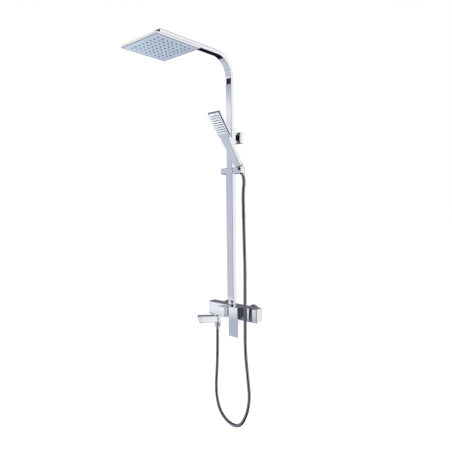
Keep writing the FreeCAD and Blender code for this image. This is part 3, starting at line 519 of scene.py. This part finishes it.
# %% Model the eight ribs
RIB_COUNT = 8
RIB_PITCH = 10 * MM
FIRST_RIB = 179.2 * MM
RIB_HALF = 24.5 * MM
RIB_HEIGHT = 3.2 * MM
RIB_WAVE = 0.6 * MM
RIB_WAVES = 1.5
RIB_EDGE = 0.6 * MM
RIB_BACK, RIB_THICK = -2.9 * MM, 1.5 * MM
RIB_SEGMENTS = 28
ribs = []
for index in range(RIB_COUNT):
    bpy.ops.object.select_all(action="DESELECT")
    bpy.ops.mesh.primitive_grid_add(x_subdivisions=RIB_SEGMENTS, y_subdivisions=2, size=1,
                                    rotation=(math.radians(90), 0, 0))
    rib = bpy.context.active_object
    rib.scale = (2 * RIB_HALF, RIB_HEIGHT, 1)
    rib.location = (0, RIB_BACK, FIRST_RIB + index * RIB_PITCH)
    bpy.ops.object.transform_apply(location=True, rotation=True, scale=True)
    bpy.ops.object.mode_set(mode="EDIT")
    bpy.ops.mesh.select_all(action="SELECT")
    bpy.ops.mesh.extrude_region_move(TRANSFORM_OT_translate={"value": (0, -RIB_THICK, 0)})
    bpy.ops.mesh.select_all(action="SELECT")
    bpy.ops.mesh.normals_make_consistent(inside=False)
    bpy.ops.object.mode_set(mode="OBJECT")
    for vertex in rib.data.vertices:
        vertex.co.z += RIB_WAVE * math.sin(vertex.co.x / RIB_HALF * RIB_WAVES * math.pi)
    soft_edges(rib, RIB_EDGE, segments=3)
    ribs.append(rib)
only(ribs[0])
for rib in ribs:
    rib.select_set(True)
bpy.ops.object.join()
wave_ribs = bpy.context.active_object
wave_ribs.name = "handset_wave_ribs"
carry(wave_ribs, handset_place)
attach(wave_ribs, "hand_shower")
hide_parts("handset_strips")
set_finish(wave_ribs, "rib_rubber")
print("ribs", len(wave_ribs.data.polygons), "faces")

# %% [markdown]
# ## Effects that several finishes share
# No real surface is even. Polished plate has a faint haze where hands have wiped it and a slow waviness from
# the polishing wheel. Sheet metal has a grain in one direction. Moulded plastic and rubber have a fine skin.
# Each of these is a node group, built once, that puts out values which change over the surface. The shader
# itself stays in each material.

# %% Helpers that build nodes
def new_group(name, inputs, outputs):
    """A shader node group with number inputs and the named outputs."""
    tree = bpy.data.node_groups.new(name, "ShaderNodeTree")
    for label, value in inputs:
        socket = tree.interface.new_socket(label, in_out="INPUT", socket_type="NodeSocketFloat")
        socket.default_value = value
    for label, kind in outputs:
        tree.interface.new_socket(label, in_out="OUTPUT", socket_type=kind)
    return tree, tree.nodes.new("NodeGroupInput"), tree.nodes.new("NodeGroupOutput")


def maths(tree, operation, first, second, clamp=False):
    """A Math node; each side is a socket or a number."""
    node = tree.nodes.new("ShaderNodeMath")
    node.operation = operation
    node.use_clamp = clamp
    for socket, value in zip(node.inputs, (first, second)):
        if isinstance(value, (int, float)):
            socket.default_value = value
        else:
            tree.links.new(value, socket)
    return node.outputs[0]


def noise(tree, coordinates, scale, detail):
    """A noise whose size is a number or a socket."""
    node = tree.nodes.new("ShaderNodeTexNoise")
    tree.links.new(coordinates, node.inputs["Vector"])
    if isinstance(scale, (int, float)):
        node.inputs["Scale"].default_value = scale
    else:
        tree.links.new(scale, node.inputs["Scale"])
    node.inputs["Detail"].default_value = detail
    return node.outputs["Fac"]


def object_place(tree, scale=(1, 1, 1)):
    """Object coordinates, stretched by a Mapping node."""
    source = tree.nodes.new("ShaderNodeTexCoord").outputs["Object"]
    if scale == (1, 1, 1):
        return source
    mapping = tree.nodes.new("ShaderNodeMapping")
    mapping.inputs["Scale"].default_value = scale
    tree.links.new(source, mapping.inputs["Vector"])
    return mapping.outputs["Vector"]


def ramp(tree, value, stops):
    """A colour ramp from (position, colour) stops."""
    node = tree.nodes.new("ShaderNodeValToRGB")
    elements = node.color_ramp.elements
    while len(elements) < len(stops):
        elements.new(0.5)
    for element, (position, colour) in zip(elements, stops):
        element.position = position
        element.color = (*colour, 1)
    tree.links.new(value, node.inputs["Fac"])
    return node.outputs["Color"]


# %% [markdown]
# ### Wiped haze
# Two noises multiplied give clean patches and hazy ones: a broad one says where the haze lies, and a fine one
# breaks it up. The same group puts out a slow waviness as a height.

# %% Wiped haze
wiped, wiped_in, wiped_out = new_group(
    "wiped_haze", [("Base", 0.05), ("Amount", 0.05), ("Scale", 9.0)],
    [("Roughness", "NodeSocketFloat"), ("Mask", "NodeSocketFloat"), ("Height", "NodeSocketFloat")])
here = object_place(wiped)
broad = noise(wiped, here, wiped_in.outputs["Scale"], detail=4)
fine = noise(wiped, object_place(wiped, (1, 1, 0.25)), 160.0, detail=2)
mask = maths(wiped, "MULTIPLY", maths(wiped, "SUBTRACT", broad, 0.42, clamp=True),
             maths(wiped, "ADD", fine, 0.6))
mask = maths(wiped, "MULTIPLY", mask, 3.0, clamp=True)
rise = maths(wiped, "MULTIPLY", mask, wiped_in.outputs["Amount"])
wiped.links.new(maths(wiped, "ADD", wiped_in.outputs["Base"], rise), wiped_out.inputs["Roughness"])
wiped.links.new(mask, wiped_out.inputs["Mask"])
wiped.links.new(noise(wiped, here, 26.0, detail=1), wiped_out.inputs["Height"])

# %% [markdown]
# ### Drawn grain
# A noise squeezed in two directions turns into long streaks. Some broad patches are added, so that the grain
# doesn't look ruled.

# %% Drawn grain
grain, grain_in, grain_out = new_group(
    "drawn_grain", [("Base", 0.25), ("Amount", 0.12)],
    [("Roughness", "NodeSocketFloat"), ("Tone", "NodeSocketFloat")])
streaks = noise(grain, object_place(grain, (6, 900, 900)), 1.0, detail=3)
patches = noise(grain, object_place(grain), 14.0, detail=3)
tone = maths(grain, "ADD", maths(grain, "MULTIPLY", streaks, 0.6), maths(grain, "MULTIPLY", patches, 0.4))
grain.links.new(tone, grain_out.inputs["Tone"])
grain.links.new(maths(grain, "ADD", grain_in.outputs["Base"],
                      maths(grain, "MULTIPLY", tone, grain_in.outputs["Amount"])),
                grain_out.inputs["Roughness"])

# %% [markdown]
# ### Moulded skin
# A very fine noise is the pores and goes out as a height. A coarse one changes the tone and the roughness.

# %% Moulded skin
skin, skin_in, skin_out = new_group(
    "moulded_skin", [("Base", 0.4), ("Amount", 0.15), ("Scale", 900.0)],
    [("Roughness", "NodeSocketFloat"), ("Height", "NodeSocketFloat"), ("Tone", "NodeSocketFloat")])
pores = noise(skin, object_place(skin), skin_in.outputs["Scale"], detail=2)
cloud = noise(skin, object_place(skin), 40.0, detail=3)
skin.links.new(pores, skin_out.inputs["Height"])
skin.links.new(cloud, skin_out.inputs["Tone"])
skin.links.new(maths(skin, "ADD", skin_in.outputs["Base"],
                     maths(skin, "MULTIPLY", cloud, skin_in.outputs["Amount"])),
               skin_out.inputs["Roughness"])
print("groups:", [tree.name for tree in (wiped, grain, skin)])

# %% [markdown]
# ## Materials
# Every finish starts in the same way: a material with one Principled shader, a shared effect feeding its
# roughness, and a colour ramp that turns the same effect into slight changes of colour. Constant settings
# such as metallic sit on the shader itself.

# %% A starting point for every finish
def new_finish(name, group, settings, stops, tone_output, metallic=0.0, coat=0.0):
    """A material whose roughness and colour follow a shared effect."""
    material = bpy.data.materials.new(name)
    material.use_nodes = True
    tree = material.node_tree
    shader = tree.nodes["Principled BSDF"]
    shader.inputs["Metallic"].default_value = metallic
    shader.inputs["Coat Weight"].default_value = coat
    effect = tree.nodes.new("ShaderNodeGroup")
    effect.node_tree = group
    for label, value in settings.items():
        effect.inputs[label].default_value = value
    tree.links.new(effect.outputs["Roughness"], shader.inputs["Roughness"])
    tree.links.new(ramp(tree, effect.outputs[tone_output], stops), shader.inputs["Base Color"])
    return material, tree, shader, effect


def bump(tree, shader, height, strength, distance):
    """Feeds a height into the shader's normal."""
    node = tree.nodes.new("ShaderNodeBump")
    node.inputs["Strength"].default_value = strength
    node.inputs["Distance"].default_value = distance
    tree.links.new(height, node.inputs["Height"])
    tree.links.new(node.outputs["Normal"], shader.inputs["Normal"])


# %% [markdown]
# ### Polished chrome
# Chrome plate on polished brass is a mirror with a cool tint. What tells it from a perfect mirror is the
# slow waviness left by the polishing wheel, which bends straight reflections a little, and the haze.

# %% Polished chrome
chrome, tree, shader, effect = new_finish(
    "polished_chrome", wiped, {"Base": 0.035, "Amount": 0.05, "Scale": 9.0},
    [(0.0, (0.86, 0.87, 0.90)), (1.0, (0.80, 0.81, 0.85))], "Mask", metallic=1.0)
bump(tree, shader, effect.outputs["Height"], 0.10, 0.0006)

# %% [markdown]
# ### The hose's winding
# A wound strip throws back less light than a flat face, because much of it is caught between the turns. That
# shade is painted in: the metal's colour is painted darker than the polished chrome, and the stored groove
# depth paints further shade into the grooves and roughens them.

# %% Hose winding
# painted shade: the ramp's colours are kept well below the polished chrome's to stand in for light caught
# between the turns
hose_chrome, tree, shader, effect = new_finish(
    "hose_chrome", wiped, {"Base": 0.10, "Amount": 0.08, "Scale": 30.0},
    [(0.0, (0.36, 0.36, 0.43)), (1.0, (0.28, 0.28, 0.34))], "Mask", metallic=1.0)
groove = tree.nodes.new("ShaderNodeAttribute")
groove.attribute_name = "groove"
# painted shade: the stored groove depth mixes a near-black colour into the grooves
mixer = tree.nodes.new("ShaderNodeMix")
mixer.data_type = "RGBA"
tree.links.new(groove.outputs["Fac"], mixer.inputs["Factor"])
tree.links.new(shader.inputs["Base Color"].links[0].from_socket, mixer.inputs["A"])
mixer.inputs["B"].default_value = (0.12, 0.12, 0.14, 1)
tree.links.new(mixer.outputs["Result"], shader.inputs["Base Color"])
deeper = maths(tree, "MULTIPLY", groove.outputs["Fac"], 0.25)
tree.links.new(maths(tree, "ADD", effect.outputs["Roughness"], deeper), shader.inputs["Roughness"])

# %% [markdown]
# ### Satin and plain steel
# The rain head's underside has a pale satin finish: a fine grain in one direction, with soft reflections
# only. The pieces of plain steel inside are darker and rougher.

# %% Steel finishes
face_steel, tree, shader, effect = new_finish(
    "face_steel", grain, {"Base": 0.30, "Amount": 0.16},
    [(0.3, (0.44, 0.53, 0.65)), (0.7, (0.54, 0.63, 0.74))], "Tone", metallic=0.35)
bump(tree, shader, effect.outputs["Tone"], 0.05, 0.0002)

plain_steel, tree, shader, effect = new_finish(
    "plain_steel", grain, {"Base": 0.32, "Amount": 0.2},
    [(0.3, (0.50, 0.51, 0.52)), (0.7, (0.64, 0.65, 0.67))], "Tone", metallic=1.0)
bump(tree, shader, effect.outputs["Tone"], 0.12, 0.0002)

# %% [markdown]
# ### Brass, plastics and rubber
# The parts inside are left as machined brass, white acetal and black rubber. The nozzles are a nearly black
# silicone and the ribs a dark grey one. The hand shower's plate is a pale gloss plastic, and the plug in the
# arm's end is black.

# %% Brass, plastics and rubber
brass, tree, shader, effect = new_finish(
    "machined_brass", wiped, {"Base": 0.22, "Amount": 0.2, "Scale": 24.0},
    [(0.0, (0.78, 0.60, 0.30)), (1.0, (0.58, 0.42, 0.20))], "Mask", metallic=1.0)
bump(tree, shader, effect.outputs["Height"], 0.15, 0.0003)

MOULDED = {
    # slot: (base roughness, roughness change, pore scale, dark tone, light tone, coat, bump)
    "nozzle_rubber": (0.48, 0.15, 1400, (0.008, 0.009, 0.014), (0.022, 0.024, 0.034), 0.0, 0.25),
    "rib_rubber": (0.45, 0.15, 1400, (0.09, 0.10, 0.12), (0.15, 0.16, 0.19), 0.0, 0.25),
    "seal_rubber": (0.55, 0.2, 1100, (0.020, 0.020, 0.021), (0.040, 0.040, 0.042), 0.0, 0.35),
    "black_gloss": (0.34, 0.10, 700, (0.004, 0.004, 0.005), (0.009, 0.009, 0.011), 0.0, 0.05),
    "white_plastic": (0.38, 0.15, 900, (0.76, 0.76, 0.73), (0.85, 0.85, 0.83), 0.0, 0.12),
    "handset_white": (0.20, 0.1, 800, (0.54, 0.56, 0.61), (0.64, 0.66, 0.71), 0.25, 0.06),
}
moulded = {}
for slot_name, (base, change, pores_scale, dark, light, coat, depth) in MOULDED.items():
    material, tree, shader, effect = new_finish(
        slot_name, skin, {"Base": base, "Amount": change, "Scale": float(pores_scale)},
        [(0.3, dark), (0.7, light)], "Tone", coat=coat)
    bump(tree, shader, effect.outputs["Height"], depth, 0.0002)
    moulded[slot_name] = material
print("finishes:", len(bpy.data.materials))

# %% [markdown]
# ### The joint between tube and arm
# The insert is chromed like the tube, and its front millimetre is coloured near-black and not metallic. Where
# a point lies from front to back decides which of the two it is.

# %% Joint insert
joint_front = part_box("joint_insert")[0].y
BLACK_FRONT_DEPTH = 1.0 * MM
joint_black, tree, shader, effect = new_finish(
    "joint_black", wiped, {"Base": 0.05, "Amount": 0.05, "Scale": 9.0},
    [(0.0, (0.84, 0.85, 0.88)), (1.0, (0.78, 0.79, 0.83))], "Mask")
across = tree.nodes.new("ShaderNodeSeparateXYZ")
tree.links.new(object_place(tree), across.inputs[0])
# points within the front millimetre are coloured near-black, not metallic and a little rougher
black_front = maths(tree, "LESS_THAN", across.outputs["Y"], joint_front + BLACK_FRONT_DEPTH)
coloured = tree.nodes.new("ShaderNodeMix")
coloured.data_type = "RGBA"
tree.links.new(black_front, coloured.inputs["Factor"])
tree.links.new(shader.inputs["Base Color"].links[0].from_socket, coloured.inputs["A"])
coloured.inputs["B"].default_value = (0.003, 0.003, 0.004, 1)
tree.links.new(coloured.outputs["Result"], shader.inputs["Base Color"])
tree.links.new(maths(tree, "SUBTRACT", 1, black_front), shader.inputs["Metallic"])
tree.links.new(maths(tree, "ADD", effect.outputs["Roughness"], maths(tree, "MULTIPLY", black_front, 0.05)),
               shader.inputs["Roughness"])

# %% [markdown]
# ## Put the finishes on
# The record names a material slot for every CAD node, so each node gets the finish of its slot. The pieces
# made here named their slot when they were made, and get the same finishes.

# %% Assign a finish to every piece
FINISHES = {"polished_chrome": chrome, "hose_chrome": hose_chrome, "face_steel": face_steel, "brass": brass,
            "plain_steel": plain_steel, **moulded}


def paint(piece, material):
    """Gives a piece one finish in place of any other."""
    piece.data.materials.clear()
    piece.data.materials.append(material)


for part in frame["record"]["subparts"]:
    paint(frame["nodes"][part["node"]], FINISHES[part["material_slot"]])
paint(frame["nodes"]["joint_insert"], joint_black)
own_pieces = [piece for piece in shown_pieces() if "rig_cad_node" not in piece]
for piece in own_pieces:
    paint(piece, FINISHES[piece["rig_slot"]])

# %% [markdown]
# ## The studio
# Chrome shows what stands round it. The column is lit as such things are lit for a catalogue: a wide pale
# screen on each side, and dark boards behind the camera and behind the object. A dark ring above the screens
# and a dark mat straight below draw the thin lines along the edges, and a narrow card beside the camera
# lights the side of the spout. All of it is one sky of soft shapes, worked out from the direction alone.
# The camera itself sees plain white there.

# %% Start the sky and its helpers
TOWARDS_CAMERA = (0.668, -0.744, 0)
TOWARDS_LEFT_SCREEN = (-0.668, -0.744, 0)
world = bpy.data.worlds.new("studio")
bpy.context.scene.world = world
world.use_nodes = True
tree = world.node_tree
tree.nodes.clear()
direction = tree.nodes.new("ShaderNodeTexCoord").outputs["Generated"]
apart = tree.nodes.new("ShaderNodeSeparateXYZ")
tree.links.new(direction, apart.inputs[0])
height = apart.outputs["Z"]


def vector_maths(operation, first, second=None):
    """A Vector Math node in the sky's own tree."""
    node = tree.nodes.new("ShaderNodeVectorMath")
    node.operation = operation
    tree.links.new(first, node.inputs[0])
    if second is not None:
        node.inputs[1].default_value = second
    return node.outputs["Value" if operation == "DOT_PRODUCT" else "Vector"]


def between(value, low, high):
    """0 below low, 1 above high and a smooth rise between them."""
    node = tree.nodes.new("ShaderNodeMapRange")
    node.interpolation_type = "SMOOTHSTEP"
    tree.links.new(value, node.inputs["Value"])
    node.inputs["From Min"].default_value = low
    node.inputs["From Max"].default_value = high
    return node.outputs["Result"]


def blend_colours(share, first, second):
    """The first colour where the share is 0 and the second where it is 1; each a socket or a colour."""
    node = tree.nodes.new("ShaderNodeMix")
    node.data_type = "RGBA"
    tree.links.new(share, node.inputs["Factor"])
    for socket, value in ((node.inputs["A"], first), (node.inputs["B"], second)):
        if isinstance(value, tuple):
            socket.default_value = (*value, 1)
        else:
            tree.links.new(value, socket)
    return node.outputs["Result"]


# %% [markdown]
# ### Screens and boards
# Which of them a direction meets depends on its turn, and their colours change with its height. A screen
# isn't even: it is brighter where a lamp stands behind it. Each edge is a smooth step, because a hard one
# would look cut.

# %% Colour the screens and boards
DARK = (0.010, 0.010, 0.014)
SCREENS_MEET = (-0.3, 0.3)
BOARD_EDGE = (0.76, 0.88)
RING_FOOT = (0.42, 0.47)
RING_TOP = (0.86, 0.93)

level = vector_maths("NORMALIZE", vector_maths("MULTIPLY", direction, (1, 1, 0)))
along_view = maths(tree, "ABSOLUTE", vector_maths("DOT_PRODUCT", level, TOWARDS_CAMERA), 0)
to_left = vector_maths("DOT_PRODUCT", level, TOWARDS_LEFT_SCREEN)
shifted_height = maths(tree, "ADD", maths(tree, "MULTIPLY", height, 0.5), 0.5)
left_screen = ramp(tree, shifted_height, [
    (0.30, (0.60, 0.65, 0.72)), (0.371, (0.46, 0.53, 0.62)), (0.383, (0.96, 0.97, 1.0)),
    (0.391, (0.94, 0.95, 0.98)), (0.398, (0.60, 0.61, 0.72)), (0.55, (0.60, 0.61, 0.72)),
    (0.61, (0.88, 0.89, 0.94)), (0.635, (0.34, 0.39, 0.48)), (0.65, (0.42, 0.46, 0.55)),
    (0.666, (0.90, 0.92, 0.96)),
])
right_screen = ramp(tree, shifted_height, [(0.2, (0.95, 0.96, 0.98)), (0.8, (1.0, 1.0, 1.0))])
screens = blend_colours(between(to_left, *SCREENS_MEET), right_screen, left_screen)
back_board = ramp(tree, shifted_height, [
    (0.545, DARK), (0.57, (0.14, 0.15, 0.18)), (0.66, (0.22, 0.23, 0.27)), (0.70, DARK),
])
towards_camera = maths(tree, "GREATER_THAN", vector_maths("DOT_PRODUCT", level, TOWARDS_CAMERA), 0)
board_colour = blend_colours(towards_camera, back_board, DARK)
with_boards = blend_colours(between(along_view, *BOARD_EDGE), screens, board_colour)
above_screens = blend_colours(between(height, *RING_FOOT), with_boards, DARK)
with_ceiling = blend_colours(between(height, *RING_TOP), above_screens, (1.0, 1.0, 1.0))
print("sky has", len(tree.nodes), "nodes so far")

# %% [markdown]
# ### The card and the mat
# The card is bounded by its turn and by two heights. Only what is inside all three is lit, so the three masks
# are multiplied. The mat is everything that lies below one height.

# %% Hang the card and lay the mat
CARD_TURN = math.radians(44.2)
TOWARDS_CARD = (math.sin(CARD_TURN), -math.cos(CARD_TURN), 0)
CARD_SIDE = (0.9992, 0.9996)
CARD_FOOT = (-0.40, -0.36)
CARD_TOP = (-0.247, -0.237)
MAT_EDGE = (-0.80, -0.76)

card_side = vector_maths("DOT_PRODUCT", level, TOWARDS_CARD)
card = maths(tree, "MULTIPLY", between(card_side, *CARD_SIDE),
             maths(tree, "MULTIPLY", between(height, *CARD_FOOT),
                   maths(tree, "SUBTRACT", 1, between(height, *CARD_TOP))))
with_card = blend_colours(card, with_ceiling, (0.97, 0.98, 1.0))
mat_below = maths(tree, "SUBTRACT", 1, between(height, *MAT_EDGE))
whole_sky = blend_colours(mat_below, with_card, DARK)
print("card stands", round(math.degrees(CARD_TURN), 1), "degrees round from the front")

# %% [markdown]
# ### What lights the column and what the camera sees
# A Light Path node tells a ray that comes straight from the camera from one that lights or is mirrored. The
# first kind finds plain white, and the others find the studio.

# %% Join the studio and the white
studio_light = tree.nodes.new("ShaderNodeBackground")
tree.links.new(whole_sky, studio_light.inputs["Color"])
studio_light.inputs["Strength"].default_value = 1.0
plain_white = tree.nodes.new("ShaderNodeBackground")
plain_white.inputs["Color"].default_value = (1, 1, 1, 1)
choose = tree.nodes.new("ShaderNodeMixShader")
tree.links.new(tree.nodes.new("ShaderNodeLightPath").outputs["Is Camera Ray"], choose.inputs["Fac"])
tree.links.new(studio_light.outputs[0], choose.inputs[1])
tree.links.new(plain_white.outputs[0], choose.inputs[2])
output = tree.nodes.new("ShaderNodeOutputWorld")
tree.links.new(choose.outputs[0], output.inputs["Surface"])
bpy.context.scene.view_settings.view_transform = "Standard"
print("sky has", len(tree.nodes), "nodes")

# %% [markdown]
# ## Floor and lamps
# A pale floor lies about half a metre below the lowest point of the hose and glows a little, so that it meets
# the white round it without a line. It is left out of the mirror reflections, because the boards and screens
# stand on it. A broad lamp from the left and above shades the matt parts, and a small one below the rain
# head makes its underside lighter on the left.

# %% Lay the floor
FLOOR_DROP = 0.55
FLOOR_SIDE = 80
FLOOR_GLOW = 0.8
bpy.ops.object.select_all(action="DESELECT")
bpy.ops.mesh.primitive_plane_add(size=FLOOR_SIDE, location=(0, 0, cad_low.z - FLOOR_DROP))
floor = bpy.context.active_object
floor.name = "studio_floor"
floor.visible_glossy = False
floor_finish, _, shader, _ = new_finish(
    "floor_paper", skin, {"Base": 0.85, "Amount": 0.1, "Scale": 300.0},
    [(0.3, (0.93, 0.93, 0.935)), (0.7, (0.95, 0.95, 0.955))], "Tone")
shader.inputs["Emission Color"].default_value = (1, 1, 1, 1)
shader.inputs["Emission Strength"].default_value = FLOOR_GLOW
paint(floor, floor_finish)
print("floor at", round(cad_low.z - FLOOR_DROP, 3))

# %% [markdown]
# ### Lamps
# Both lamps are square and soft. Neither is mirrored in the chrome, where it would show as a bright square.

# %% Set the lamps
def soft_lamp(name, place, aim, size, energy):
    """A square lamp that faces a point and isn't mirrored in the chrome."""
    data = bpy.data.lights.new(name, "AREA")
    data.size = size
    data.energy = energy
    lamp = bpy.data.objects.new(name, data)
    bpy.context.scene.collection.objects.link(lamp)
    lamp.location = place
    lamp.rotation_euler = (Vector(aim) - Vector(place)).to_track_quat("-Z", "Y").to_euler()
    lamp.visible_glossy = False


soft_lamp("soft_lamp", place=(-1.8, -2.4, 2.4), aim=(0, -0.1, 0.4), size=2.0, energy=55)
soft_lamp("low_lamp", place=(-0.42, -0.78, 0.74), aim=(-0.05, -0.5, 1.02), size=0.3, energy=4)
print("lamps:", len(bpy.data.lights))
